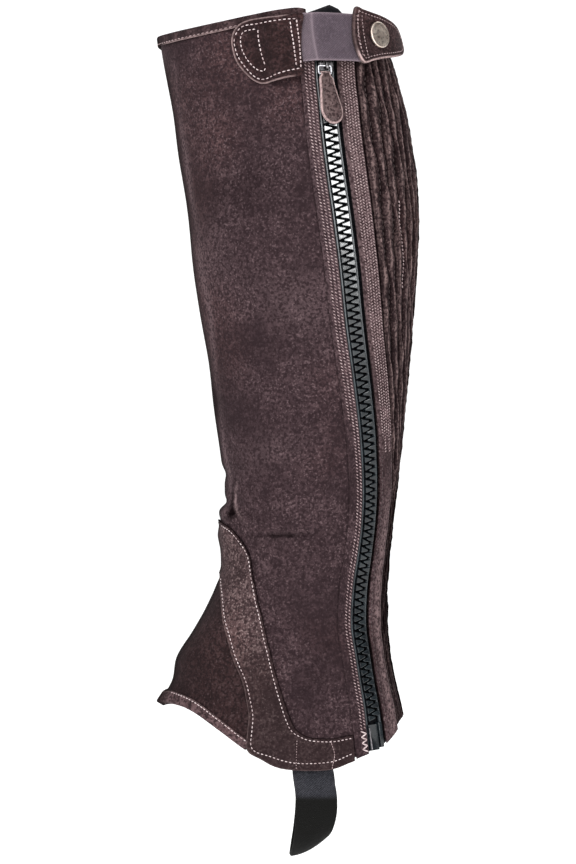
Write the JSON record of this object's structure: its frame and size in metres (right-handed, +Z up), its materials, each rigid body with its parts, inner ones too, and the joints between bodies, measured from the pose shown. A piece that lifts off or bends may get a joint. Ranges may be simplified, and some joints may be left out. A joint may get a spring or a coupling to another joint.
{
  "type": "suede half chap, empty and filled out, zipped at the side",
  "caption": "Suede riding gaiter for the lower leg: side zip under a snap strap, ribbed stretch back, vamp over the instep and an elastic strap for under the boot.",
  "frame": {"origin": "on the leg's axis inside the closure strap at the top, where the wearer's calf holds it up", "axes": "+Z up along the leg, -X towards the shin and toe, +X towards the back of the calf, -Y out of the zipped outer side"},
  "size_m": [0.1509, 0.1113, 0.4838],
  "materials": {
    "suede": "dark brown suede, napped and mottled",
    "suede_trim": "lighter brown suede strips, napped",
    "suede_band": "pinkish brown suede band, ribbed by its stitching",
    "suede_binding": "dark brown folded suede edge",
    "elastic": "grey-purple woven elastic",
    "strap_elastic": "charcoal woven elastic",
    "zip_tape": "black woven zip tape",
    "zip_teeth": "glossy black-teal moulded teeth",
    "snap_metal": "antique pewter finish",
    "slider_metal": "dark nickel finish",
    "thread": "pinkish beige sewing thread"
  },
  "bodies": {
    "root": {"outer_panel": "suede", "inner_panel": "suede", "stretch_panel": "suede", "vamp": "suede", "top_binding": "suede_binding", "vamp_binding": "suede_binding", "ankle_strip": "suede_trim", "zip_strip_front": "suede_trim", "zip_strip_back": "suede_band", "zip_tape": "zip_tape", "zip_chain": "zip_teeth", "zip_box": "zip_teeth", "closure_base": "suede", "closure_elastic": "elastic", "snap_tab": "suede", "snap_cap": "snap_metal", "snap_stud": "snap_metal", "slider": "slider_metal", "understrap": "strap_elastic"},
    "pull": {"pull_bail": "slider_metal", "pull_tab": "suede_trim"}
  },
  "joints": [
    {"name": "pull_hinge", "type": "hinge", "parent": "root", "child": "pull", "pos_m": [0.0264, -0.05208, -0.01631], "axis": [-0.9568, -0.2906, 0.0096], "range_deg": [0, 115]}
  ]
}
